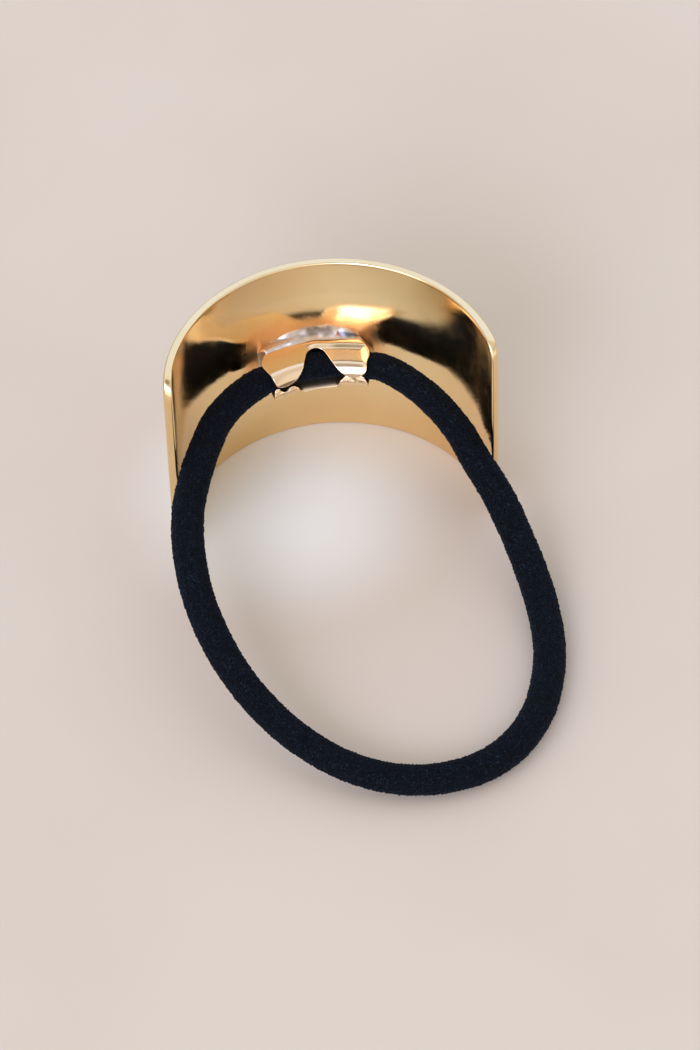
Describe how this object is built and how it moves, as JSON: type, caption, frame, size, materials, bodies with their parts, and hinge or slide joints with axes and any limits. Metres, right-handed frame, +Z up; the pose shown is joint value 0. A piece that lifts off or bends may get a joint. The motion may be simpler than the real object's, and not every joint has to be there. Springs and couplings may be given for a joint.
{
  "type": "ponytail cuff",
  "caption": "Curved metal plate open at one side, with a folded clamp soldered inside that holds a loop of covered elastic for a ponytail.",
  "frame": {"origin": "under the middle of the metal's own box, on the surface that the curved rim stands on", "axes": "+Z up along the plate's height, +X across the plate to the viewer's right, -Y out of the open side that the elastic lies in front of"},
  "size_m": [0.0501, 0.0701, 0.0315],
  "materials": {
    "gold_plate": "polished pale gold plating, greyed where it was soldered",
    "elastic_cover": "matte knitted cover, blue-black"
  },
  "bodies": {
    "root": {"cuff": "gold_plate", "elastic": "elastic_cover"}
  },
  "joints": []
}
